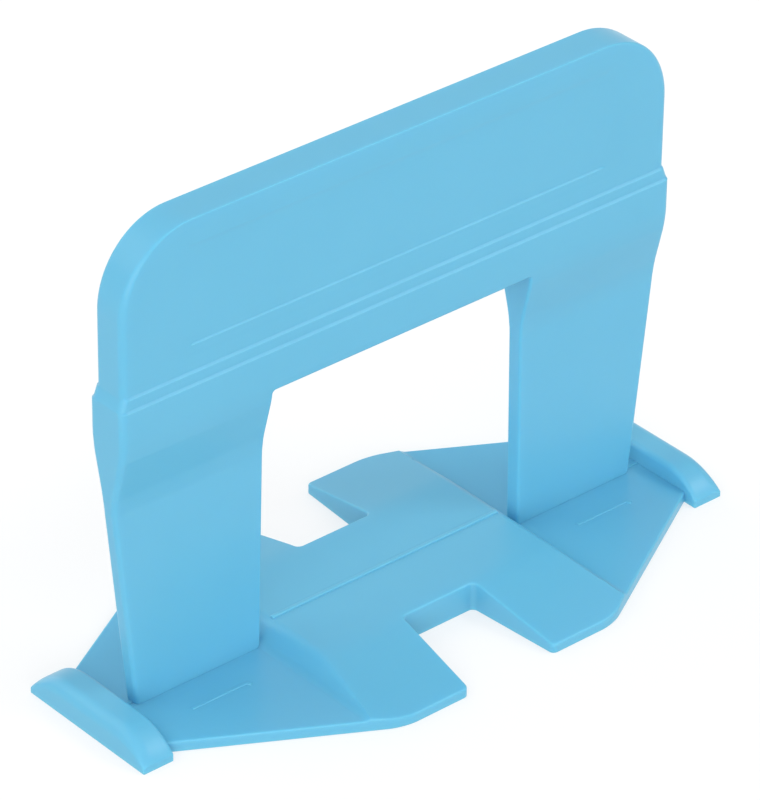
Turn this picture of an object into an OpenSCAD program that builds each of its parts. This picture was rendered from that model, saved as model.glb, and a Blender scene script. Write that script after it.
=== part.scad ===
// Tile levelling clip, moulded in one piece: a stiff panel on two thin legs that
// stand on a flat base. The base goes under two neighbouring tiles, the legs stand
// in the joint between them, and a wedge pushed through the window pulls the tiles
// level. A blow then snaps the legs off at their necks.
// The origin is the middle of the underside. X runs along the joint, Y across it, Z up.

/* [Base] */
// Length of the base, over both end bars
base_l = 50; // [48:0.5:60]
// Width of the base, over the tongues
base_w = 25; // [20:0.5:34]
// Thickness of the bridge between the legs
bridge_t = 2.2; // [1.4:0.1:3]
// Width of the bridge, between the two notches
bridge_w = 10.5; // [8:0.5:14]
// Gap between the foot of the bridge's ramp and the side of the window
bridge_gap = 0.25; // [0:0.05:0.5]
// Length of the ramp from the bridge down to a wing
ramp_l = 0.9; // [0.5:0.1:1.5]
// Thickness of the wings around the legs
wing_t = 0.8; // [0.6:0.1:1.2]
// Width of each wing where it meets its end bar
wing_end_w = 9.6; // [7:0.2:11]
// Thickness of the tongues at their tips
tip_t = 0.7; // [0.5:0.1:1.2]
// Length of each tongue's straight tip
tip_l = 5.4; // [4:0.2:7]
// Width of a notch at its mouth
notch_mouth_w = 7.3; // [6:0.1:9]
// Width of a notch at its floor
notch_floor_w = 6.2; // [5:0.1:7]
// Rounding of the corners of a notch
notch_r = 0.4; // [0.2:0.1:1]
// Rounding of the blunt corner between a tongue's tip and its slanting edge
tip_r = 4; // [1:0.5:6]

/* [End bars] */
// Width of an end bar
bar_w = 2.4; // [2:0.1:3]
// Length of an end bar
bar_l = 11.7; // [11:0.1:15]
// Height of an end bar
bar_h = 2.15; // [1.8:0.05:2.4]
// Height of the upright face at either end of a bar
bar_end_h = 0.55; // [0.4:0.05:1]
// Length over which a bar's top rounds down to its end
bar_nose_l = 3.2; // [2.2:0.1:4]
// Rounding of a bar's outer top edge
bar_outer_r = 0.9; // [0.5:0.1:1.2]
// Rounding of a bar's inner top edge
bar_inner_r = 0.4; // [0.2:0.1:0.7]
// Rounding of a bar's upright corners
bar_corner_r = 0.2; // [0.1:0.1:0.8]

/* [Window and legs] */
// Height of the window's top edge above the underside
window_h = 20.7; // [16:0.1:23]
// Width of the window at its top
window_w = 21.7; // [18:0.1:24]
// How far each side of the window leans outwards on its way down
window_draft = 0.35; // [0:0.05:0.6]
// Thickness of the legs, which sets the width of the joint
leg_t = 1.2; // [0.8:0.1:2]
// Width of each leg above its neck
leg_foot_w = 10.2; // [8:0.1:10.6]
// Height over which the shoulders thin down to the legs
leg_blend_h = 4.3; // [2:0.1:8]
// Rounding of the legs' upright edges
leg_r = 0.45; // [0.1:0.05:0.5]
// Thickness of the break-off necks
neck_t = 0.85; // [0.5:0.05:1]
// Height of the break-off necks
neck_h = 0.3; // [0.2:0.05:1.5]
// Height of a neck's upright part, below its flare
neck_groove_h = 0.1; // [0.05:0.05:0.15]
// How far a neck is cut in at each side of its leg
neck_in = 0.15; // [0.05:0.05:1]

/* [Panel] */
// Height of the clip, from underside to top rim
clip_h = 35.5; // [33:0.5:45]
// Width of the panel above the shoulders
panel_w = 45.4; // [44:0.2:47]
// Thickness of the panel above the shoulders
panel_t = 2.7; // [2.2:0.1:4]
// Radius of the panel's top corners
panel_corner_r = 5.6; // [3:0.2:7]
// Rounding of the rim of panel and shoulders
rim_r = 0.5; // [0.2:0.05:0.8]
// How far the shoulders stand out from the panel on every side
shoulder_out = 0.3; // [0.1:0.05:0.6]
// Height of the shoulders above the window, up to their first ledge
shoulder_h = 3; // [2:0.05:4]
// Height over which the shoulders step back to the panel
shoulder_step_h = 1; // [0.7:0.05:1.5]
// Height of each of the two ledges by which they step back
ledge_h = 0.15; // [0.1:0.05:0.3]

/* [Recess and marks] */
// Depth of the recess in the panel's front
recess_d = 0.15; // [0.1:0.05:0.6]
// Radius of the recess's corners
recess_r = 1.6; // [0.6:0.1:1.8]
// Border of the panel on either side of the recess
recess_side_border = 4; // [3:0.1:6]
// Border of the panel above the recess
recess_top_border = 2.3; // [1.5:0.1:3]
// Border between the upper ledge and the recess
recess_low_border = 2; // [1:0.1:3]
// Width of the fine raised lines on the base
mark_w = 0.25; // [0.15:0.05:0.4]
// Height of the fine raised lines on the base
mark_h = 0.12; // [0.05:0.01:0.2]
// Length of the line beside each leg
mark_l = 4.4; // [2:0.1:6]
// Distance of that line from the middle of the joint
mark_y = 3.1; // [2:0.1:4]

/* [Hidden] */

// Steps in the arc of a rounding, and of a large corner
arc_steps = 5;
corner_steps = 12;
// How far one form reaches past another where they are joined or cut
lap = 0.3;

// Shoulders: the panel's section, grown on every side
shoulder_w = panel_w + 2 * shoulder_out;
shoulder_t = panel_t + 2 * shoulder_out;
shoulder_z = window_h + shoulder_h;
panel_z = shoulder_z + shoulder_step_h;
ledge_t = (shoulder_t + panel_t) / 2;

// Recess in the panel
recess_x = panel_w / 2 - recess_side_border;
recess_z = panel_z + recess_low_border;
recess_top_z = clip_h - recess_top_border;

// Base: tongues, wings, ramps and bars
tongue_y = base_w / 2;
notch_y = bridge_w / 2;
tip_x = notch_mouth_w / 2 + tip_l;
end_x = base_l / 2;
bar_x = end_x - bar_w;
ramp_slope = ramp_l / (bridge_t - wing_t);
ramp_foot_x = window_w / 2 + window_draft - bridge_gap;
tongue_slope = (bridge_t - tip_t) / (tongue_y - notch_y);

// Legs: the heights and sides of the sections that each leg runs through
neck_flare_z = wing_t + neck_groove_h;
neck_top_z = wing_t + neck_h;
blend_z = window_h - leg_blend_h;
foot_in_x = window_x(neck_top_z);
foot_out_x = foot_in_x + leg_foot_w;
neck_in_x = foot_in_x + neck_in;
neck_out_x = foot_out_x - neck_in;

// One side of the window at height z
function window_x(z) = window_w / 2 + window_draft * (1 - z / window_h);

// Half the width at height z, where the shoulders round in to the panel
function rounded_in_x(z) =
    let (share = min((z - shoulder_z) / shoulder_step_h, 1))
    panel_w / 2 + shoulder_out * sqrt(1 - share * share);

// Where the bridge's ramp is at height z
function ramp_x(z) = ramp_foot_x + (wing_t - z) * ramp_slope;

// A rounding no larger than most of the room that it has
function fitting_r(r, room) = min(r, 0.7 * room);

// An arc about a centre, from angle a0 to a1
function arc(centre, r, a0, a1, steps = arc_steps) =
    [for (i = [0:steps]) let (a = a0 + (a1 - a0) * i / steps) centre + r * [cos(a), sin(a)]];

// A list from its last entry to its first
function turned(list) = [for (i = [len(list) - 1:-1:0]) list[i]];

function unit(v) = v / norm(v);

// The arc that rounds corner b between its neighbours a and c
function round_corner(a, b, c, r) =
    let (
        u = unit(a - b),
        v = unit(c - b),
        half = acos(u * v) / 2,
        centre = b + unit(u + v) * r / sin(half),
        p = b + u * r / tan(half) - centre,
        q = b + v * r / tan(half) - centre,
        start = atan2(p.y, p.x),
        turn = atan2(p.x * q.y - p.y * q.x, p * q)
    )
    arc(centre, r, start, start + turn);

// An outline of corners [x, y, radius]; a corner of radius 0 stays sharp
function rounded(corners) =
    let (n = len(corners), xy = [for (c = corners) [c.x, c.y]])
    [for (i = [0:n - 1])
        each corners[i].z > 0
            ? round_corner(xy[(i + n - 1) % n], xy[i], xy[(i + 1) % n], corners[i].z)
            : [xy[i]]];

// A level section at height z, from x0 to x1 and t thick, with rounded edges
function section(z, x0, x1, t, r) =
    let (e = fitting_r(r, t / 2), y = t / 2 - e)
    [for (p = concat(
            arc([x1 - e, -y], e, -90, 0),
            arc([x1 - e, y], e, 0, 90),
            arc([x0 + e, y], e, 90, 180),
            arc([x0 + e, -y], e, 180, 270)
        )) [p.x, p.y, z]];

// A solid through a stack of sections that have the same number of points
module loft(sections) {
    n = len(sections[0]);
    last = (len(sections) - 1) * n;
    sides = [
        for (i = [0:len(sections) - 2], j = [0:n - 1])
            let (a = i * n + j, b = i * n + (j + 1) % n)
            [a, a + n, b + n, b]
    ];
    floor_face = [for (j = [0:n - 1]) j];
    top_face = [for (j = [n - 1:-1:0]) last + j];
    polyhedron(points = [for (s = sections) each s], faces = concat([floor_face], sides, [top_face]));
}

// A shape drawn in X and Z, t thick and centred on the joint
module across(t) {
    rotate([90, 0, 0]) linear_extrude(t, center = true) children();
}

// A shape drawn in Y and Z, from x0 to x1
module along(x0, x1) {
    translate([x0, 0, 0]) rotate([90, 0, 90]) linear_extrude(x1 - x0) children();
}

// A form and its mirror image at the other end of the base
module both_ends() {
    children();
    mirror([1, 0, 0]) children();
}

// A form and its mirror image on the other side of the joint
module both_sides() {
    children();
    mirror([0, 1, 0]) children();
}

// The panel's outline in X and Z, drawn in by an inset
function panel_outline(inset) =
    let (
        x = panel_w / 2 - inset,
        cx = panel_w / 2 - panel_corner_r,
        cz = clip_h - panel_corner_r,
        r = panel_corner_r - inset
    )
    concat(
        [[-x, panel_z], [x, panel_z]],
        arc([cx, cz], r, 0, 90, corner_steps),
        arc([-cx, cz], r, 90, 180, corner_steps)
    );

// The panel above the shoulders: its outline, layer by layer through a rounded rim
module panel() {
    r = fitting_r(rim_r, panel_t / 2);
    front = arc([r, panel_t / 2 - r], r, 180, 90);
    back = [for (layer = turned(front)) [layer.x, -layer.y]];
    rotate([90, 0, 0]) loft([
        for (layer = concat(back, front)) [for (p = panel_outline(layer.x)) [p.x, p.y, layer.y]]
    ]);
}

// The shoulders, from the top of the window and by two ledges back to the panel
module shoulders() {
    middle_z = (shoulder_z + panel_z) / 2;
    heights = [window_h, shoulder_z, shoulder_z + ledge_h, middle_z, panel_z - ledge_h, panel_z];
    thick = [shoulder_t, shoulder_t, ledge_t, ledge_t, ledge_t, panel_t];
    loft([
        for (i = [0:len(heights) - 1])
            let (x = rounded_in_x(max(heights[i], shoulder_z)))
            section(heights[i], -x, x, thick[i], rim_r)
    ]);
}

// One leg: break-off neck, tapering shank and the blend into the shoulders
module leg() {
    loft([
        section(wing_t, neck_in_x, neck_out_x, neck_t, leg_r),
        section(neck_flare_z, neck_in_x, neck_out_x, neck_t, leg_r),
        section(neck_top_z, foot_in_x, foot_out_x, leg_t, leg_r),
        section(blend_z, window_x(blend_z), shoulder_w / 2, leg_t, leg_r),
        section(window_h, window_x(window_h), shoulder_w / 2, shoulder_t, rim_r)
    ]);
}

// The shallow recess in the panel's front
module recess() {
    outline = rounded([
        [-recess_x, recess_z, recess_r],
        [recess_x, recess_z, recess_r],
        [recess_x, recess_top_z, recess_r],
        [-recess_x, recess_top_z, recess_r]
    ]);
    translate([0, -panel_t / 2, 0]) across(2 * recess_d) polygon(outline);
}

// The base seen from above: two notched tongues on either side, wings to the bars
module base_outline() {
    half = [
        [notch_floor_w / 2, -notch_y, notch_r],
        [notch_mouth_w / 2, -tongue_y, notch_r],
        [tip_x, -tongue_y, tip_r],
        [bar_x, -wing_end_w / 2, 0],
        [bar_x + lap, -wing_end_w / 2, 0],
        [bar_x + lap, wing_end_w / 2, 0],
        [bar_x, wing_end_w / 2, 0],
        [tip_x, tongue_y, tip_r],
        [notch_mouth_w / 2, tongue_y, notch_r],
        [notch_floor_w / 2, notch_y, notch_r]
    ];
    other_half = [for (c = turned(half)) [-c.x, c.y, c.z]];
    polygon(rounded(concat(half, other_half)));
}

// The thick bridge between the legs, sloping down to the tongues' tips and the wings
module bridge() {
    reach_y = tongue_y + lap;
    reach_t = tip_t - tongue_slope * lap;
    over_z = bridge_t + lap;
    intersection() {
        linear_extrude(over_z) base_outline();
        along(-ramp_x(0), ramp_x(0)) polygon([
            [-reach_y, 0],
            [reach_y, 0],
            [reach_y, reach_t],
            [notch_y, bridge_t],
            [-notch_y, bridge_t],
            [-reach_y, reach_t]
        ]);
        across(2 * reach_y) polygon([
            [-ramp_x(0), 0],
            [ramp_x(0), 0],
            [ramp_x(over_z), over_z],
            [-ramp_x(over_z), over_z]
        ]);
    }
}

// The thin wing around one leg
module wing() {
    intersection() {
        linear_extrude(wing_t) base_outline();
        translate([ramp_foot_x, -base_w, -lap]) cube([base_l, 2 * base_w, wing_t + 2 * lap]);
    }
}

// A bar's upright section, h high and at distance y from the middle of its length
function bar_section(y, h) =
    [for (p = rounded([
            [bar_x, 0, 0],
            [end_x, 0, 0],
            [end_x, h, fitting_r(bar_outer_r, h)],
            [bar_x, h, fitting_r(bar_inner_r, h)]
        ])) [p.x, p.y, y]];

// The bar at one end of the base: its top curves down to both ends, its corners are rounded
module end_bar() {
    half_l = bar_l / 2;
    turn = 2 * atan((bar_h - bar_end_h) / bar_nose_l);
    nose_r = bar_nose_l / sin(turn);
    nose = arc([half_l - bar_nose_l, bar_h - nose_r], nose_r, 90, 90 - turn);
    far_nose = [for (p = turned(nose)) [-p.x, p.y]];
    intersection() {
        rotate([90, 0, 0]) loft([for (p = concat(far_nose, nose)) bar_section(p.x, p.y)]);
        linear_extrude(bar_h + lap) polygon(rounded([
            [bar_x, -half_l, bar_corner_r],
            [end_x, -half_l, bar_corner_r],
            [end_x, half_l, bar_corner_r],
            [bar_x, half_l, bar_corner_r]
        ]));
    }
}

// A fine raised line of length l, along X on a face at height z
module raised_line(x, y, z, l) {
    translate([x - l / 2, y - mark_w / 2, z - lap]) cube([l, mark_w, lap + mark_h]);
}

module clip() {
    color("#70bde4") {
        difference() {
            panel();
            recess();
        }
        shoulders();
        both_ends() {
            leg();
            wing();
            end_bar();
            both_sides() raised_line((foot_in_x + foot_out_x) / 2, mark_y, wing_t, mark_l);
        }
        bridge();
        raised_line(0, 0, bridge_t, 2 * ramp_x(bridge_t) - 2 * lap);
    }
}

clip();
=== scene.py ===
"""Looks of the tile levelling clip: one injection-moulded polypropylene piece in a soft white studio.

The moulding is modelled in millimetres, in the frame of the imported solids, and brought to metres
at the end. X runs along the tile joint, Y across it towards the plain back, Z up.
"""

import logging
import math
from collections.abc import Callable
from dataclasses import dataclass, field
from enum import Enum

import bmesh
import bpy
from mathutils import Matrix, Vector


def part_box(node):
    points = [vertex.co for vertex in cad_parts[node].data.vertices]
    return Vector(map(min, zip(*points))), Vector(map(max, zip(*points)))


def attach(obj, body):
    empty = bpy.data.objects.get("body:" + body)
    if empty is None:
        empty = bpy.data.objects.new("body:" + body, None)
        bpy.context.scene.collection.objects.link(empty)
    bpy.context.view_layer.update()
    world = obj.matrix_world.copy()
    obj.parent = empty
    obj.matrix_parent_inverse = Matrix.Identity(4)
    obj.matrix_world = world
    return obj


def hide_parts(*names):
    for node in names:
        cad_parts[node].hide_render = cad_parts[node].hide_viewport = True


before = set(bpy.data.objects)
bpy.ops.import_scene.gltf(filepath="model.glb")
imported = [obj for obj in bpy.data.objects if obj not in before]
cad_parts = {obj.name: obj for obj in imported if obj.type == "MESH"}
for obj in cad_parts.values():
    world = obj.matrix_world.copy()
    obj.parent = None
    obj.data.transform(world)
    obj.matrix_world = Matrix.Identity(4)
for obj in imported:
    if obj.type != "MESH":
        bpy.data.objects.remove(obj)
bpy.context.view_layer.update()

LOG = logging.getLogger("clip")
MM = 0.001
NODE = "clip"
WELD = 1e-4
WHITE = "ffffff"
SOFT_SAMPLES = 9
# A face is level where its normal's Z is above the first, and a wall where it is below the second.
LEVEL_Z = 0.9
WALL_Z = 0.1

Point = tuple[float, float, float]


class Element(Enum):
    """What a selection in edit mode is made of."""

    VERT = "verts"
    EDGE = "edges"
    FACE = "faces"


class Join(Enum):
    """How one solid acts on another."""

    ADD = "UNION"
    CUT = "DIFFERENCE"


class End(Enum):
    """The two ends of the base."""

    LEFT = -1
    RIGHT = 1


class Face(Enum):
    """The two sides of the joint."""

    FRONT = -1
    BACK = 1


def linear(hex_colour: str) -> tuple[float, float, float, float]:
    """Turns an sRGB hex colour into linear light.

    Args:
        hex_colour: Six hex digits, such as "70bde4".

    Returns:
        Linear red, green, blue and an alpha of 1.
    """
    parts = [int(hex_colour[i:i + 2], 16) / 255 for i in (0, 2, 4)]
    light = [c / 12.92 if c <= 0.04045 else ((c + 0.055) / 1.055) ** 2.4 for c in parts]
    return (*light, 1.0)


def softened(knots: list[tuple[float, float]], at: float, reach: float) -> float:
    """Reads a broken line whose corners are rounded off.

    Args:
        knots: Points (place, value) of the broken line, in rising order of place.
        at: The place to read.
        reach: How far to each side of a corner its rounding goes.

    Returns:
        The line's mean value from at - reach to at + reach.
    """
    def straight(place: float) -> float:
        """Reads the broken line itself.

        Args:
            place: The place to read, taken as the nearest end where it is outside.

        Returns:
            The value there.
        """
        place = min(max(place, knots[0][0]), knots[-1][0])
        for (a, low), (b, high) in zip(knots, knots[1:]):
            if place <= b:
                return low + (high - low) * (place - a) / (b - a)
        return knots[-1][1]

    offsets = [reach * (2 * i / (SOFT_SAMPLES - 1) - 1) for i in range(SOFT_SAMPLES)]
    return sum(straight(at + o) for o in offsets) / SOFT_SAMPLES


class Shape:
    """A mesh on the modelling bench, in millimetres and open in edit mode."""

    def __init__(self, name: str) -> None:
        """Takes the primitive that was just added.

        Args:
            name: Name of the object.
        """
        self.object: bpy.types.Object = bpy.context.active_object
        self.object.name = name
        self.object.data.name = name
        bpy.ops.object.mode_set(mode="EDIT")

    @staticmethod
    def clear_bench() -> None:
        """Leaves edit mode and deselects everything."""
        if bpy.context.mode != "OBJECT":
            bpy.ops.object.mode_set(mode="OBJECT")
        bpy.ops.object.select_all(action="DESELECT")

    @classmethod
    def block(cls, name: str, low: Point, high: Point) -> "Shape":
        """Adds a cube that fills a box.

        Args:
            name: Name of the object.
            low: Lowest corner.
            high: Highest corner.

        Returns:
            The shape, all selected.
        """
        cls.clear_bench()
        bpy.ops.mesh.primitive_cube_add(size=1)
        shape = cls(name)
        size = Vector(high) - Vector(low)
        bpy.ops.transform.resize(value=size, center_override=(0, 0, 0))
        bpy.ops.transform.translate(value=(Vector(low) + Vector(high)) / 2)
        return shape

    @classmethod
    def outline(cls, name: str, points: list[Point]) -> "Shape":
        """Traces a flat face from one corner of a plane.

        Args:
            name: Name of the object.
            points: The corners, in order.

        Returns:
            The shape, one face, all selected.
        """
        cls.clear_bench()
        bpy.ops.mesh.primitive_plane_add(size=1)
        shape = cls(name)
        shape.select(Element.VERT, lambda v: v.index > 0)
        bpy.ops.mesh.delete(type="VERT")
        shape.select(Element.VERT, lambda v: True)
        start = shape.mesh().verts[0].co
        bpy.ops.transform.translate(value=Vector(points[0]) - start)
        for a, b in zip(points, points[1:]):
            step = {"value": Vector(b) - Vector(a)}
            bpy.ops.mesh.extrude_vertices_move(TRANSFORM_OT_translate=step)
        bpy.ops.mesh.select_all(action="SELECT")
        bpy.ops.mesh.edge_face_add()
        return shape

    def mesh(self) -> bmesh.types.BMesh:
        """Gives the mesh under edit, with its tables up to date.

        Returns:
            The edit mesh.
        """
        mesh = bmesh.from_edit_mesh(self.object.data)
        for table in (mesh.verts, mesh.edges, mesh.faces):
            table.ensure_lookup_table()
            table.index_update()
        return mesh

    def select(self, element: Element, test: Callable[..., bool]) -> int:
        """Selects what passes a test, and nothing else.

        Args:
            element: Which kind of element is tested.
            test: Takes an element and says whether it is wanted.

        Returns:
            How many elements were selected.
        """
        bpy.ops.mesh.select_mode(type=element.name)
        bpy.ops.mesh.select_all(action="DESELECT")
        mesh = self.mesh()
        mesh.normal_update()
        wanted = [e for e in getattr(mesh, element.value) if test(e)]
        for e in wanted:
            e.select_set(True)
        mesh.select_flush_mode()
        bmesh.update_edit_mesh(self.object.data)
        return len(wanted)

    def extrude(self, step: Point) -> None:
        """Extrudes the selected faces along a step."""
        bpy.ops.mesh.extrude_region_move(TRANSFORM_OT_translate={"value": step})

    def slice(self, place: Point, normal: Point) -> None:
        """Cuts edges into the whole mesh where a plane crosses it.

        Args:
            place: A point of the plane.
            normal: The plane's normal.
        """
        bpy.ops.mesh.select_all(action="SELECT")
        bpy.ops.mesh.bisect(plane_co=place, plane_no=normal)

    def round_corners(self, test: Callable[..., bool], radius: float, segments: int) -> None:
        """Rounds corners of a flat outline and leaves all of it selected.

        Args:
            test: Says whether a vertex is one of the corners.
            radius: Radius of the rounding.
            segments: Segments in each arc.
        """
        self.select(Element.VERT, test)
        corner = next(v for v in self.mesh().verts if v.select)
        a, b = (e.other_vert(corner).co - corner.co for e in corner.link_edges)
        along_edge = radius / math.tan(a.angle(b) / 2)
        bpy.ops.mesh.bevel(offset=along_edge, segments=segments, affect="VERTICES")
        bpy.ops.mesh.select_all(action="SELECT")

    def bevel(self, test: Callable[..., bool], width: float, segments: int) -> None:
        """Rounds the edges that pass a test.

        Args:
            test: Says whether an edge is rounded.
            width: Width of the rounding on each side of the edge.
            segments: Segments across it.
        """
        if self.select(Element.EDGE, test):
            bpy.ops.mesh.bevel(offset=width, segments=segments, affect="EDGES")

    def weigh(self, width_of: Callable[..., float], widest: float, segments: int) -> None:
        """Rounds edges by different widths at once.

        Args:
            width_of: Takes an edge and gives the width of its rounding, or 0.
            widest: The largest width.
            segments: Segments across each rounding.
        """
        mesh = self.mesh()
        mesh.normal_update()
        groups: dict[float, set[int]] = {}
        for edge in mesh.edges:
            weight = round(width_of(edge) / widest, 2)
            if weight > 0:
                groups.setdefault(weight, set()).add(edge.index)
        for weight, members in groups.items():
            self.select(Element.EDGE, lambda e: e.index in members)
            bpy.ops.transform.edge_bevelweight(value=weight)
        self.finish()
        self.modify("BEVEL", limit_method="WEIGHT", width=widest, segments=segments,
                    offset_type="OFFSET", use_clamp_overlap=False)

    def finish(self) -> bpy.types.Object:
        """Makes the normals point outwards and closes the edit.

        Returns:
            The finished object.
        """
        if bpy.context.mode != "EDIT_MESH":
            return self.object
        bpy.ops.mesh.select_all(action="SELECT")
        bpy.ops.mesh.remove_doubles(threshold=WELD)
        bpy.ops.mesh.normals_make_consistent(inside=False)
        bpy.ops.object.mode_set(mode="OBJECT")
        return self.object

    def activate(self) -> None:
        """Leaves edit mode and selects this object alone."""
        self.clear_bench()
        self.object.select_set(True)
        bpy.context.view_layer.objects.active = self.object

    def reopen(self) -> None:
        """Opens the finished object for editing again."""
        self.activate()
        bpy.ops.object.mode_set(mode="EDIT")

    def modify(self, kind: str, **settings: object) -> None:
        """Adds a modifier to the finished object and applies it.

        Args:
            kind: The modifier's type.
            **settings: Its settings.
        """
        self.activate()
        modifier = self.object.modifiers.new(kind.title(), kind)
        for name, value in settings.items():
            setattr(modifier, name, value)
        bpy.ops.object.modifier_apply(modifier=modifier.name)

    def join(self, other: "Shape", how: Join) -> None:
        """Adds another solid to this one or cuts it away, and uses the other up.

        Args:
            other: The other solid.
            how: Whether it is added or cut away.
        """
        tool = other.finish()
        self.finish()
        self.modify("BOOLEAN", operation=how.value, object=tool, solver="EXACT")
        bpy.data.objects.remove(tool)


def between(edge: bmesh.types.BMEdge) -> tuple[Vector, Vector]:
    """Gives the normals of the two faces that meet at an edge."""
    return tuple(f.normal for f in edge.link_faces)


def middle(edge: bmesh.types.BMEdge) -> Vector:
    """Gives the middle of an edge."""
    return (edge.verts[0].co + edge.verts[1].co) / 2


@dataclass
class Upright:
    """The legs, the shoulders above the window and the panel, in millimetres."""

    height: float
    wing_t: float
    window_h: float = 20.7
    window_w: float = 21.7
    window_draft: float = 0.35
    window_corner_r: float = 0.2
    window_rim_r: float = 0.22
    leg_t: float = 1.2
    leg_foot_w: float = 10.2
    leg_blend_h: float = 4.3
    leg_r: float = 0.34
    neck_t: float = 1.14
    neck_h: float = 0.18
    neck_groove_h: float = 0.05
    neck_in: float = 0.05
    neck_r: float = 0.12
    panel_w: float = 45.4
    panel_t: float = 2.7
    panel_corner_r: float = 5.6
    side_r: float = 0.5
    top_r: float = 0.07
    shoulder_out: float = 0.3
    shoulder_h: float = 3.0
    shoulder_step_h: float = 1.0
    ledge_h: float = 0.15
    soft_l: float = 0.9
    soft_spread: tuple[float, ...] = (-1, -0.55, 0.45, 1)
    sink: float = 0.4
    window_reach: float = 1.0
    broad_y: float = 0.5
    narrow_y: float = 0.3
    rim_segments: int = 5
    corner_segments: int = 24
    window_segments: int = 4

    def __post_init__(self) -> None:
        """Works out the heights and widths at which the section changes."""
        self.flare_z = self.wing_t + self.neck_groove_h
        self.neck_z = self.wing_t + self.neck_h
        self.blend_z = self.window_h - self.leg_blend_h
        self.shoulder_z = self.window_h + self.shoulder_h
        self.panel_z = self.shoulder_z + self.shoulder_step_h
        self.lower_ledge_z = self.shoulder_z + self.ledge_h
        self.upper_ledge_z = self.panel_z - self.ledge_h
        self.shoulder_t = self.panel_t + 2 * self.shoulder_out
        self.ledge_t = (self.shoulder_t + self.panel_t) / 2
        self.shoulder_x = self.panel_w / 2 + self.shoulder_out
        self.foot_in_x = self.window_x(self.neck_z)
        self.foot_out_x = self.foot_in_x + self.leg_foot_w

    def window_x(self, z: float) -> float:
        """Gives the side of the window at a height."""
        return self.window_w / 2 + self.window_draft * (1 - z / self.window_h)

    def stations(self) -> list[float]:
        """Gives the heights of the sections, close together around each crease.

        Returns:
            The heights, rising from the top of the wings.
        """
        creases = (self.blend_z, self.window_h)
        soft = [z + self.soft_l * share for z in creases for share in self.soft_spread]
        middle_z = (self.shoulder_z + self.panel_z) / 2
        ledges = [self.shoulder_z, self.lower_ledge_z, middle_z, self.upper_ledge_z, self.panel_z]
        return [self.wing_t, self.flare_z, self.neck_z, *soft, *ledges, self.height]

    def section(self, z: float) -> tuple[float, float]:
        """Gives half the width and the thickness at a height.

        Args:
            z: The height.

        Returns:
            The outer side and the thickness.
        """
        soft = self.blend_z - self.soft_l <= z < self.window_h + self.soft_l
        reach = self.soft_l if soft else 0
        outer = softened([
            (self.wing_t, self.foot_out_x - self.neck_in),
            (self.flare_z, self.foot_out_x - self.neck_in),
            (self.neck_z, self.foot_out_x),
            (self.blend_z, self.shoulder_x),
            (self.height, self.shoulder_x),
        ], z, reach)
        round_in = min(max((z - self.shoulder_z) / self.shoulder_step_h, 0), 1)
        outer -= self.shoulder_out * (1 - math.cos(math.pi * round_in)) / 2
        thick = softened([
            (self.wing_t, self.neck_t),
            (self.flare_z, self.neck_t),
            (self.neck_z, self.leg_t),
            (self.blend_z, self.leg_t),
            (self.window_h, self.shoulder_t),
            (self.shoulder_z, self.shoulder_t),
            (self.lower_ledge_z, self.ledge_t),
            (self.upper_ledge_z, self.ledge_t),
            (self.panel_z, self.panel_t),
            (self.height, self.panel_t),
        ], z, reach)
        return outer, thick

    def rim_width(self, edge: bmesh.types.BMEdge) -> float:
        """Gives the rounding of an edge between a broad face and a narrow one.

        Args:
            edge: An edge of the upright.

        Returns:
            The width of its rounding, or 0 where it has none.
        """
        normals = between(edge)
        broad = [n for n in normals if abs(n.y) > self.broad_y]
        narrow = [n for n in normals if abs(n.y) < self.narrow_y]
        at = middle(edge)
        if not broad or not narrow or at.z < self.wing_t:
            return 0
        if at.z < self.neck_z:
            return self.neck_r
        if abs(at.x) < self.window_w / 2 + self.window_reach and at.z < self.shoulder_z:
            return self.window_rim_r
        if at.z < self.blend_z:
            return self.leg_r
        lean = max(narrow[0].z, 0) ** 2
        return self.side_r + (self.top_r - self.side_r) * lean

    def build(self) -> Shape:
        """Draws the section up from the neck, cuts the window and rounds the edges.

        Returns:
            The legs, shoulders and panel as one shape.
        """
        outer, thick = self.section(self.wing_t)
        foot = (-outer, -thick / 2, self.wing_t - self.sink)
        shape = Shape.block("upright", foot, (outer, thick / 2, self.wing_t))
        here = self.wing_t
        for z in self.stations()[1:]:
            shape.select(Element.FACE, lambda f: f.normal.z > LEVEL_Z)
            shape.extrude((0, 0, z - here))
            was = (outer, thick)
            outer, thick = self.section(z)
            grow = (outer / was[0], thick / was[1], 1)
            bpy.ops.transform.resize(value=grow, center_override=(0, 0, z))
            here = z
        self.round_top(shape)
        shape.join(self.window_cutter(), Join.CUT)
        shape.reopen()
        for z in self.stations()[1:-1]:
            shape.slice((0, 0, z), (0, 0, 1))
        shape.weigh(self.rim_width, self.side_r, self.rim_segments)
        return shape

    def round_top(self, shape: Shape) -> None:
        """Rounds the panel's top corners.

        Args:
            shape: The upright, open in edit mode.
        """
        def corner(edge: bmesh.types.BMEdge) -> bool:
            """Says whether an edge is a top corner, which runs from front to back."""
            a, b = (v.co for v in edge.verts)
            return min(a.z, b.z) > self.height - WELD and abs(a.x - b.x) < WELD

        shape.bevel(corner, self.panel_corner_r, self.corner_segments)

    def window_cutter(self) -> Shape:
        """Makes the solid that opens the window and undercuts the legs at the neck.

        Returns:
            The cutter.
        """
        half = [
            (self.foot_in_x + self.neck_in, self.wing_t - 2 * self.sink),
            (self.foot_in_x + self.neck_in, self.flare_z),
            (self.foot_in_x, self.neck_z),
            (self.window_w / 2, self.window_h),
        ]
        trace = half + [(-x, z) for x, z in reversed(half)]
        depth = self.shoulder_t
        shape = Shape.outline("window", [(x, -depth, z) for x, z in trace])
        top = self.window_h - WELD
        shape.round_corners(lambda v: v.co.z > top, self.window_corner_r, self.window_segments)
        shape.extrude((0, 2 * depth, 0))
        return shape


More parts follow.
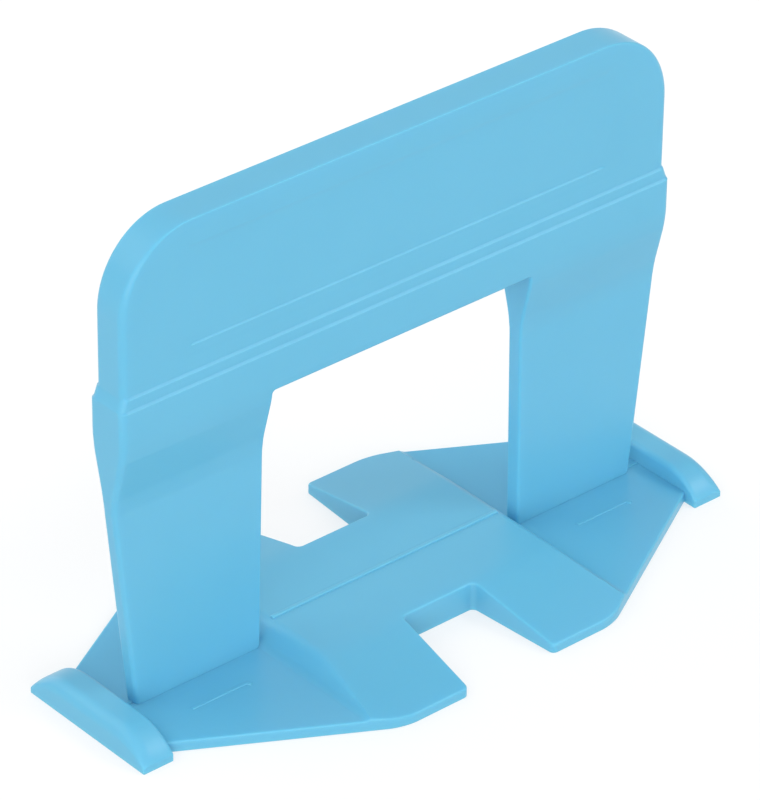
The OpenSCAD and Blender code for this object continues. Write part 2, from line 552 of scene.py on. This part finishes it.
@dataclass
class Recess:
    """A shallow rounded recess in the panel's front, with sloping sides, in millimetres."""

    panel: Upright
    depth: float = 0.15
    side_border: float = 4.25
    top_border: float = 2.3
    low_border: float = 1.87
    corner_r: float = 1.6
    lip_w: float = 0.16
    side_slope_w: float = 0.5
    top_slope_w: float = 0.6
    corner_segments: int = 8

    @classmethod
    def outer_step(cls, panel: Upright) -> "Recess":
        """Gives the faint, wider step that runs around the recess.

        Args:
            panel: The upright that carries it.

        Returns:
            The step.
        """
        return cls(panel, depth=0.05, side_border=3.6, top_border=1.8, low_border=1.05,
                   lip_w=0.06, side_slope_w=0.3, top_slope_w=0.4)

    def cut(self, shape: Shape) -> None:
        """Cuts the recess into the panel.

        Args:
            shape: The upright.
        """
        x = self.panel.panel_w / 2 - self.side_border
        z0 = self.panel.panel_z + self.low_border
        z1 = self.panel.height - self.top_border
        back = self.depth - self.panel.panel_t / 2
        tool = Shape.outline("recess", [(-x, back, z0), (x, back, z0), (x, back, z1), (-x, back, z1)])
        tool.round_corners(lambda v: True, self.corner_r, self.corner_segments)
        tool.extrude((0, -self.depth, 0))
        rise = (self.lip_w + self.top_slope_w) / (z1 - z0)
        still_z = z1 - self.top_slope_w / rise
        grow = (1 + self.side_slope_w / x, 1, 1 + rise)
        bpy.ops.transform.resize(value=grow, center_override=(0, 0, still_z))
        tool.extrude((0, -1, 0))
        shape.join(tool, Join.CUT)


@dataclass
class Base:
    """The bridge, tongues and wings, in millimetres."""

    length: float
    width: float
    window_x: float
    bridge_t: float = 2.2
    bridge_w: float = 10.5
    bridge_gap: float = 0.25
    ramp_l: float = 0.9
    wing_t: float = 0.8
    wing_end_w: float = 9.6
    tip_t: float = 0.7
    tip_l: float = 5.4
    notch_mouth_w: float = 7.3
    notch_floor_w: float = 6.2
    notch_r: float = 0.4
    tip_r: float = 4.0
    bar_w: float = 2.4
    lap: float = 0.3
    rim_r: float = 0.14
    foot_r: float = 0.06
    ramp_foot_r: float = 0.8
    ramp_top_w: float = 0.6
    ramp_end_h: float = 0.5
    crease_l: float = 1.0
    crease_steps: int = 5
    crease_angle: float = math.radians(15)
    flat_angle: float = math.radians(0.5)
    notch_segments: int = 5
    tip_segments: int = 10
    ramp_segments: int = 6
    rim_segments: int = 4
    ramp_cuts: tuple[float, ...] = (6.65, 7.05, 7.45, 7.85, 8.25, 8.65, 9.05, 9.45, 9.85)

    def __post_init__(self) -> None:
        """Works out the places of the bridge's edges and the ramps."""
        self.tongue_y = self.width / 2
        self.notch_y = self.bridge_w / 2
        self.tip_x = self.notch_mouth_w / 2 + self.tip_l
        self.bar_x = self.length / 2 - self.bar_w
        self.ramp_foot_x = self.window_x - self.bridge_gap
        self.ramp_top_x = self.ramp_foot_x - self.ramp_l
        self.ramp_h = self.bridge_t - self.wing_t
        self.fall = math.atan2(self.bridge_t - self.tip_t, self.tongue_y - self.notch_y)

    def outline(self) -> list[Point]:
        """Traces the base from above, anticlockwise.

        Returns:
            The corners, at the height of the floor.
        """
        half = [
            (self.notch_floor_w / 2, -self.notch_y),
            (self.notch_mouth_w / 2, -self.tongue_y),
            (self.tip_x, -self.tongue_y),
            (self.bar_x, -self.wing_end_w / 2),
            (self.bar_x + self.lap, -self.wing_end_w / 2),
        ]
        right = half + [(x, -y) for x, y in reversed(half)]
        left = [(-x, y) for x, y in reversed(right)]
        return [(x, y, 0) for x, y in right + left]

    def crease(self) -> list[tuple[float, float]]:
        """Draws the bend from the bridge down to a sloping tongue.

        Returns:
            Points (distance from the joint, height) along the bend.
        """
        radius = self.crease_l / math.tan(self.fall / 2)
        start = self.notch_y - self.crease_l
        turns = [self.fall * i / self.crease_steps for i in range(self.crease_steps + 1)]
        return [
            (start + radius * math.sin(a), self.bridge_t - radius * (1 - math.cos(a))) for a in turns
        ]

    def slope_cutter(self, side: Face) -> Shape:
        """Makes the solid above the sloping tongues on one side of the joint.

        Args:
            side: The side of the joint.

        Returns:
            The cutter.
        """
        over = self.bridge_t + self.lap
        arc = self.crease()
        far_y = self.tongue_y + self.lap
        far = (far_y, self.tip_t - math.tan(self.fall) * self.lap)
        reach = self.length / 2
        trace = [*arc, far, (far_y, over), (arc[0][0], over)]
        shape = Shape.outline("slope", [(-reach, side.value * y, z) for y, z in trace])
        shape.extrude((2 * reach, 0, 0))
        return shape

    def wing_cutter(self, end: End) -> Shape:
        """Makes the solid above one wing, with the ramp as its side.

        Args:
            end: The end of the base that the wing is at.

        Returns:
            The cutter.
        """
        x = end.value
        over = self.bridge_t + self.lap
        steep = self.ramp_l / self.ramp_h
        shape = Shape.outline("wing_space", [
            (x * self.ramp_foot_x, -self.width, self.wing_t),
            (x * self.length, -self.width, self.wing_t),
            (x * self.length, -self.width, over),
            (x * (self.ramp_top_x - steep * self.lap), -self.width, over),
        ])
        foot = x * self.ramp_foot_x
        shape.round_corners(
            lambda v: abs(v.co.x - foot) < WELD, self.ramp_foot_r, self.ramp_segments)
        shape.extrude((0, 2 * self.width, 0))
        return shape

    def edge_width(self, edge: bmesh.types.BMEdge) -> float:
        """Gives the rounding of one of the base's edges.

        Args:
            edge: An edge of the base.

        Returns:
            The width of its rounding, or 0 where it has none.
        """
        a, b = between(edge)
        low, high = sorted((a, b), key=lambda n: abs(n.z))
        if a.angle(b) < self.crease_angle or abs(high.z) < WALL_Z:
            return 0
        if abs(low.z) < WALL_Z:
            return self.rim_r if high.z > 0 else self.foot_r
        height = min(v.co.z for v in edge.verts) - self.wing_t
        share = (height - self.ramp_end_h) / (self.ramp_h - self.ramp_end_h)
        return self.ramp_top_w * max(share, 0)

    def build(self) -> Shape:
        """Traces the outline, raises it to the bridge's height and cuts the slopes and wings.

        Returns:
            The base as one shape.
        """
        shape = Shape.outline("base", self.outline())
        for x, radius, segments in (
            (self.tip_x, self.tip_r, self.tip_segments),
            (self.notch_mouth_w / 2, self.notch_r, self.notch_segments),
            (self.notch_floor_w / 2, self.notch_r, self.notch_segments),
        ):
            shape.round_corners(lambda v: abs(abs(v.co.x) - x) < WELD, radius, segments)
        shape.extrude((0, 0, self.bridge_t))
        shape.finish()
        for side in Face:
            shape.join(self.slope_cutter(side), Join.CUT)
        for end in End:
            shape.join(self.wing_cutter(end), Join.CUT)
        shape.reopen()
        bpy.ops.mesh.select_all(action="SELECT")
        bpy.ops.mesh.dissolve_limited(angle_limit=self.flat_angle)
        for y in [y for y, _ in self.crease()] + list(self.ramp_cuts):
            for side in Face:
                shape.slice((0, side.value * y, 0), (0, 1, 0))
        shape.weigh(self.edge_width, self.ramp_top_w, self.rim_segments)
        return shape


@dataclass
class EndBar:
    """The bar at one end of the base, in millimetres."""

    base: Base
    length: float = 11.7
    height: float = 2.15
    end_h: float = 0.55
    nose_l: float = 3.2
    outer_r: float = 0.9
    inner_r: float = 0.4
    rim_l: float = 0.05
    rim_in: float = 0.12
    nose_steps: int = 8
    rim_steps: int = 4
    outer_segments: int = 8
    inner_segments: int = 5

    def nose(self) -> list[Point]:
        """Draws the curve down to one end.

        Returns:
            Points (distance from the middle, height, inset of the sides) along the curve.
        """
        fall = 2 * math.atan((self.height - self.end_h) / self.nose_l)
        radius = self.nose_l / math.sin(fall)
        start = self.length / 2 - self.nose_l
        turn = math.asin((self.nose_l - self.rim_l) / radius)
        angles = [turn * i / self.nose_steps for i in range(self.nose_steps + 1)]
        curve = [
            (start + radius * math.sin(a), self.height - radius * (1 - math.cos(a)), 0) for a in angles
        ]
        y, h, _ = curve[-1]
        rim_r = self.rim_l / (1 - math.sin(turn))
        for i in range(1, self.rim_steps + 1):
            a = turn + (math.pi / 2 - turn) * i / self.rim_steps
            along = rim_r * (math.sin(a) - math.sin(turn))
            inset = self.rim_in * (1 - math.sqrt(max(1 - (along / self.rim_l) ** 2, 0)))
            curve.append((y + along, h - rim_r * (math.cos(turn) - math.cos(a)), inset))
        return curve

    def build(self, end: End) -> Shape:
        """Models the bar as a rounded section drawn along Y, lower towards its ends.

        Args:
            end: The end of the base that it stands at.

        Returns:
            The bar.
        """
        nose = self.nose()
        run = [(-y, h, inset) for y, h, inset in reversed(nose)] + nose
        x0, x1 = self.base.bar_x, self.base.length / 2
        y0, h0, in0 = run[0]
        shape = Shape.outline("end_bar", [
            (x0, y0, 0), (x1, y0, 0), (x1, y0, self.height), (x0, y0, self.height),
        ])
        shape.round_corners(
            lambda v: v.co.z > WELD and v.co.x > x1 - WELD, self.outer_r, self.outer_segments)
        shape.round_corners(
            lambda v: v.co.z > WELD and v.co.x < x0 + WELD, self.inner_r, self.inner_segments)
        middle_x = (x0 + x1) / 2
        shrink = (1 - 2 * in0 / (x1 - x0), 1, h0 / self.height)
        bpy.ops.transform.resize(value=shrink, center_override=(middle_x, 0, 0))
        for (ya, ha, in_a), (yb, hb, in_b) in zip(run, run[1:]):
            shape.extrude((0, yb - ya, 0))
            grow = ((x1 - x0 - 2 * in_b) / (x1 - x0 - 2 * in_a), 1, hb / ha)
            bpy.ops.transform.resize(value=grow, center_override=(middle_x, 0, 0))
        if end is End.LEFT:
            bpy.ops.mesh.select_all(action="SELECT")
            bpy.ops.transform.resize(value=(-1, 1, 1), center_override=(0, 0, 0))
        shape.finish()
        return shape


@dataclass
class MouldLine:
    """A fine raised line left by a joint between parts of the mould, in millimetres."""

    start: Point
    length: float
    heading: float = 0.0
    width: float = 0.28
    rise: float = 0.06
    root: float = 0.15
    crest_share: float = 0.9
    crest_segments: int = 3

    def build(self) -> Shape:
        """Models the line as a low ridge with a rounded crest.

        Returns:
            The ridge, sunk into the face below it by its root.
        """
        half = self.width / 2
        shape = Shape.block("mould_line", (0, -half, -self.root), (self.length, half, self.rise))
        crest_r = self.rise * self.crest_share
        shape.bevel(lambda e: min(v.co.z for v in e.verts) > 0, crest_r, self.crest_segments)
        bpy.ops.mesh.select_all(action="SELECT")
        # With no window the operator turns the other way.
        bpy.ops.transform.rotate(value=-self.heading, orient_axis="Z", center_override=(0, 0, 0))
        bpy.ops.transform.translate(value=self.start)
        shape.finish()
        return shape


def add_node(
    tree: bpy.types.NodeTree, kind: str, inputs: dict[str, object] | None = None, **settings: object
) -> bpy.types.Node:
    """Adds a node with its settings, values and links.

    Args:
        tree: The node tree that it joins.
        kind: The node's type.
        inputs: Value or output socket for each named input that is in use.
        **settings: The node's own settings.

    Returns:
        The node.
    """
    node = tree.nodes.new(kind)
    for name, value in settings.items():
        setattr(node, name, value)
    for name, value in (inputs or {}).items():
        socket = next(s for s in node.inputs if s.name == name and s.enabled)
        if isinstance(value, bpy.types.NodeSocket):
            tree.links.new(value, socket)
        else:
            socket.default_value = value
    return node


@dataclass(frozen=True)
class Polypropylene:
    """Injection-moulded polypropylene: a satin, faintly waxy skin that lets a little light through.

    The eye gets an even colour with soft broad highlights, edges that glow lighter where the wall is
    thin, a very fine grain from the spark-eroded mould and faint clouds where the melt flowed.
    """

    name: str = "polypropylene_injection_moulded"
    colour: str = "65b5d5"
    flow_colour: str = "61b1d1"
    roughness: float = 0.32
    roughness_swing: float = 0.04
    ior: float = 1.49
    gloss_level: float = 0.32
    scatter: float = 0.35
    scatter_mm: tuple[float, float, float] = (0.5, 0.9, 1.2)
    cloud_mm: float = 7.0
    cloud_detail: float = 3.0
    cloud_roughness: float = 0.55
    # The mould's grain is about 0.03 mm, too fine to show, so it is drawn coarser.
    grain_mm: float = 0.35
    grain_height_mm: float = 0.004
    grain_detail: float = 2.0
    grain_strength: float = 0.25

    def material(self) -> bpy.types.Material:
        """Builds the material's nodes.

        Returns:
            The material.
        """
        material = bpy.data.materials.new(self.name)
        material.use_nodes = True
        tree = material.node_tree
        shader = tree.nodes["Principled BSDF"]
        shader.inputs["IOR"].default_value = self.ior
        shader.inputs["Specular IOR Level"].default_value = self.gloss_level
        shader.inputs["Subsurface Weight"].default_value = self.scatter
        shader.inputs["Subsurface Radius"].default_value = self.scatter_mm
        shader.inputs["Subsurface Scale"].default_value = MM
        place = add_node(tree, "ShaderNodeTexCoord").outputs["Object"]
        cloud = add_node(tree, "ShaderNodeTexNoise", {
            "Vector": place, "Scale": 1 / (self.cloud_mm * MM),
            "Detail": self.cloud_detail, "Roughness": self.cloud_roughness,
        })
        tint = add_node(tree, "ShaderNodeMix", {
            "Factor": cloud.outputs["Fac"], "A": linear(self.colour), "B": linear(self.flow_colour),
        }, data_type="RGBA")
        tree.links.new(tint.outputs["Result"], shader.inputs["Base Color"])
        gloss = add_node(tree, "ShaderNodeMapRange", {
            "Value": cloud.outputs["Fac"],
            "To Min": self.roughness - self.roughness_swing,
            "To Max": self.roughness + self.roughness_swing,
        })
        tree.links.new(gloss.outputs["Result"], shader.inputs["Roughness"])
        grain = add_node(tree, "ShaderNodeTexNoise", {
            "Vector": place, "Scale": 1 / (self.grain_mm * MM), "Detail": self.grain_detail,
        })
        bump = add_node(tree, "ShaderNodeBump", {
            "Height": grain.outputs["Fac"], "Strength": self.grain_strength,
            "Distance": self.grain_height_mm * MM,
        })
        tree.links.new(bump.outputs["Normal"], shader.inputs["Normal"])
        return material


@dataclass
class Clip:
    """The whole moulding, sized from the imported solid."""

    low: Vector
    high: Vector
    finish: Polypropylene = field(default_factory=Polypropylene)
    smooth_angle: float = math.radians(32)
    normal_weight: int = 80
    bridge_line_w: float = 0.34
    bridge_line_rise: float = 0.12
    bar_line_sink: float = 0.05
    bar_line_rise: float = 0.045
    mark_l: float = 4.6
    mark_out: float = 0.3
    mark_y: float = 3.1
    hook_l: float = 0.4
    hook_turn: float = math.radians(64)
    line_gap: float = 0.3

    def build(self) -> bpy.types.Object:
        """Models the parts of the moulding, joins them and brings them to metres.

        Returns:
            The finished piece.
        """
        size = (self.high - self.low) / MM
        upright = Upright(height=size.z, wing_t=Base.wing_t)
        base = Base(length=size.x, width=size.y, window_x=upright.window_x(0))
        shape = upright.build()
        Recess.outer_step(upright).cut(shape)
        Recess(upright).cut(shape)
        LOG.info("upright: %d faces", len(shape.object.data.polygons))
        floor = base.build()
        LOG.info("base: %d faces", len(floor.object.data.polygons))
        bar = EndBar(base)
        for end in End:
            floor.join(bar.build(end), Join.ADD)
        for line in self.mould_lines(upright, base, bar):
            floor.join(line.build(), Join.ADD)
        shape.join(floor, Join.ADD)
        return self.to_metres(shape)

    def mould_lines(self, upright: Upright, base: Base, bar: EndBar) -> list[MouldLine]:
        """Gives the mould lines on the bridge, the wings and the bars.

        Args:
            upright: The legs and panel.
            base: The base that carries the lines.
            bar: The end bars.

        Returns:
            The lines.
        """
        bridge_x = base.ramp_top_x - self.line_gap
        foot_in, foot_out = upright.foot_in_x, upright.foot_out_x
        lines = [MouldLine((-bridge_x, 0, base.bridge_t), 2 * bridge_x,
                           width=self.bridge_line_w, rise=self.bridge_line_rise)]
        mark_x = (foot_in + foot_out) / 2 + self.mark_out
        for end in End:
            start = end.value * mark_x - self.mark_l / 2
            for side in Face:
                y = side.value * self.mark_y
                lines.append(MouldLine((start, y, base.wing_t), self.mark_l))
                hook = (start + self.mark_l - self.line_gap / 2, y, base.wing_t)
                lines.append(MouldLine(hook, self.hook_l, side.value * self.hook_turn))
            outer = (foot_out - base.lap, base.bar_x + base.lap)
            low = min(end.value * x for x in outer)
            lines.append(MouldLine((low, 0, base.wing_t), outer[1] - outer[0]))
            crest = (base.bar_x + bar.inner_r, base.length / 2 - bar.outer_r)
            low = min(end.value * x for x in crest)
            crest_z = bar.height - self.bar_line_sink
            lines.append(MouldLine((low, 0, crest_z), crest[1] - crest[0], rise=self.bar_line_rise))
        return lines

    def to_metres(self, shape: Shape) -> bpy.types.Object:
        """Brings the moulding to metres and sets its shading.

        Args:
            shape: The joined moulding.

        Returns:
            The object, at the origin and unscaled.
        """
        shape.reopen()
        piece = shape.finish()
        piece.scale = (MM, MM, MM)
        bpy.ops.object.transform_apply(location=True, rotation=True, scale=True)
        bpy.ops.object.shade_smooth_by_angle(angle=self.smooth_angle)
        shape.modify("WEIGHTED_NORMAL", keep_sharp=True, weight=self.normal_weight)
        piece.name = "clip_moulding"
        return piece

    def dress(self, piece: bpy.types.Object) -> None:
        """Gives the piece its finish and its place in the frame.

        Args:
            piece: The finished moulding.
        """
        piece.data.materials.clear()
        piece.data.materials.append(self.finish.material())
        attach(piece, "root")
        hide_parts(NODE)


def towards(azimuth: float, elevation: float) -> Vector:
    """Gives the way from the clip to a lamp or the camera.

    Args:
        azimuth: Turn from the front to the left, in degrees.
        elevation: Height above the horizon, in degrees.

    Returns:
        A vector of length 1.
    """
    turn, lift = math.radians(azimuth), math.radians(elevation)
    across = math.cos(lift)
    return Vector((-math.sin(turn) * across, -math.cos(turn) * across, math.sin(lift)))


@dataclass(frozen=True)
class Lamp:
    """A soft box aimed at the clip, in degrees, watts and metres."""

    name: str
    azimuth: float
    elevation: float
    power: float
    size: float = 0.6
    distance: float = 0.9
    colour: str = WHITE

    def place(self, target: Vector) -> None:
        """Adds the soft box, facing its target.

        Args:
            target: The point that it faces, in metres.
        """
        way = towards(self.azimuth, self.elevation)
        bpy.ops.object.light_add(type="AREA", location=target + way * self.distance)
        lamp = bpy.context.active_object
        lamp.name = self.name
        lamp.rotation_euler = way.to_track_quat("Z", "Y").to_euler()
        lamp.data.size = self.size
        lamp.data.energy = self.power
        lamp.data.color = linear(self.colour)[:3]


@dataclass(frozen=True)
class LitAcrylic:
    """Opal acrylic lit from behind: the eye gets an even white field with hardly any shine."""

    name: str = "lit_white_acrylic"
    colour: str = "a4a4a4"
    glow: float = 0.62
    roughness: float = 0.9
    gloss_level: float = 0.1

    def material(self) -> bpy.types.Material:
        """Sets the material's sockets.

        Returns:
            The material.
        """
        material = bpy.data.materials.new(self.name)
        material.use_nodes = True
        shader = material.node_tree.nodes["Principled BSDF"]
        shader.inputs["Base Color"].default_value = linear(self.colour)
        shader.inputs["Roughness"].default_value = self.roughness
        shader.inputs["Specular IOR Level"].default_value = self.gloss_level
        shader.inputs["Emission Color"].default_value = linear(WHITE)
        shader.inputs["Emission Strength"].default_value = self.glow
        return material


@dataclass(frozen=True)
class Studio:
    """The pale floor, the soft lights and the camera at the photograph's angle."""

    azimuth: float = 41.004
    elevation: float = 32.276
    roll: float = 0.730
    distance_mm: float = 348.31
    target_mm: Point = (-0.675, 0.0, 15.216)
    lens_mm: float = 243.09
    clip_start: float = 0.01
    floor_size: float = 3.0
    floor_finish: LitAcrylic = field(default_factory=LitAcrylic)
    sky: float = 0.79
    below: float = 0.64
    horizon: float = 0.1
    lamps: tuple[Lamp, ...] = (
        Lamp("left_softbox", azimuth=60, elevation=10, power=1.4),
        Lamp("high_softbox", azimuth=60, elevation=35, power=0.8),
        Lamp("front_softbox", azimuth=30, elevation=10, power=2.8),
        Lamp("edge_softbox", azimuth=-50, elevation=43, power=1.4, size=0.3),
        Lamp("back_softbox", azimuth=140, elevation=40, power=1.1),
        Lamp("rear_softbox", azimuth=185, elevation=8, power=1.4),
    )

    def build(self) -> None:
        """Sets up the floor, the sky, the lamps and the camera."""
        bpy.context.scene.view_settings.view_transform = "Standard"
        self.lay_floor()
        self.light_sky()
        target = Vector(self.target_mm) * MM
        for lamp in self.lamps:
            lamp.place(target)
        self.set_camera(target)

    def light_sky(self) -> None:
        """Lights the scene evenly from above, and less from below the horizon."""
        world = bpy.data.worlds.new("studio_sky")
        bpy.context.scene.world = world
        world.use_nodes = True
        tree = world.node_tree
        sky = tree.nodes["Background"]
        sky.inputs["Color"].default_value = linear(WHITE)
        way = add_node(tree, "ShaderNodeTexCoord").outputs["Generated"]
        lift = add_node(tree, "ShaderNodeSeparateXYZ", {"Vector": way}).outputs["Z"]
        fade = add_node(tree, "ShaderNodeMapRange", {
            "Value": lift, "From Min": -self.horizon, "From Max": self.horizon,
            "To Min": self.below, "To Max": self.sky,
        })
        tree.links.new(fade.outputs["Result"], sky.inputs["Strength"])

    def lay_floor(self) -> None:
        """Lays the floor under the clip."""
        Shape.clear_bench()
        bpy.ops.mesh.primitive_plane_add(size=self.floor_size)
        floor = bpy.context.active_object
        floor.name = "studio_floor"
        floor.data.materials.append(self.floor_finish.material())
        # The clip takes its light from below from the sky, which is softer than the white floor.
        floor.visible_diffuse = False
        floor.visible_shadow = False

    def set_camera(self, target: Vector) -> None:
        """Adds the camera and makes it the scene's own.

        Args:
            target: The point in the middle of the picture, in metres.
        """
        turn, roll = math.radians(self.azimuth), math.radians(self.roll)
        back = towards(self.azimuth, self.elevation)
        level = Vector((math.cos(turn), -math.sin(turn), 0))
        upright = back.cross(level)
        right = level * math.cos(roll) + upright * math.sin(roll)
        up = upright * math.cos(roll) - level * math.sin(roll)
        bpy.ops.object.camera_add()
        camera = bpy.context.active_object
        place = Matrix((right, up, back)).transposed().to_4x4()
        place.translation = target + back * self.distance_mm * MM
        camera.matrix_world = place
        camera.data.lens = self.lens_mm
        camera.data.clip_start = self.clip_start
        bpy.context.scene.camera = camera


def main() -> None:
    """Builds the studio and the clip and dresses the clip."""
    logging.basicConfig(level=logging.INFO, format="%(name)s: %(message)s")
    Studio().build()
    clip = Clip(*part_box(NODE))
    piece = clip.build()
    clip.dress(piece)
    LOG.info("%s: %d faces", piece.name, len(piece.data.polygons))


if __name__ == "__main__":
    main()
